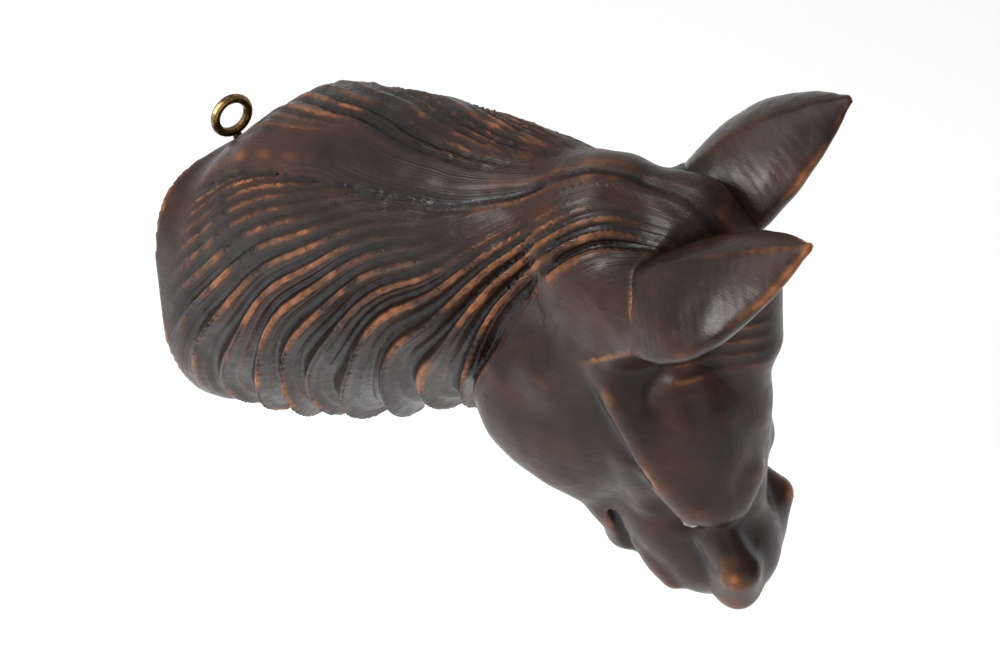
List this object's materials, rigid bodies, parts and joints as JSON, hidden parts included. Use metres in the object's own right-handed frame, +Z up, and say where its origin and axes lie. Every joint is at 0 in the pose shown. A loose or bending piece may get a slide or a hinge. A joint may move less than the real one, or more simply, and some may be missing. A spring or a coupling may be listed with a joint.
{
  "type": "carved horse head wall hanging",
  "caption": "Carved, stained wooden horse head and neck with a parted mane, separate ears, inset eyes and a flat back, hung on a wall by a brass screw eye.",
  "frame": {"origin": "middle of the flat back face, in the plane of the wall", "axes": "+Y into the wall, the carving stands out towards -Y, +Z up towards the screw eye, +X to the side that the face turns to"},
  "size_m": [0.096, 0.1978, 0.164],
  "materials": {
    "stained_wood": "dark stained and waxed, worn to orange brown on the ridges",
    "dowel_wood": "plain beech",
    "eye_glass": "dark brown glass",
    "old_brass": "dark patina, rubbed bright on the outer edge"
  },
  "bodies": {
    "carving": {"carved_head": "stained_wood", "left_ear": "stained_wood", "left_ear_dowel": "dowel_wood", "left_eye": "eye_glass", "right_ear": "stained_wood", "right_ear_dowel": "dowel_wood", "right_eye": "eye_glass"},
    "screw_eye": {"screw_eye": "old_brass"}
  },
  "joints": [
    {"name": "screw_eye_turn", "type": "hinge", "parent": "carving", "child": "screw_eye", "pos_m": [-0.004, -0.0042, 0.0525], "axis": [-0.172, 0.0242, 0.9848], "range_deg": [-22, 38]}
  ]
}
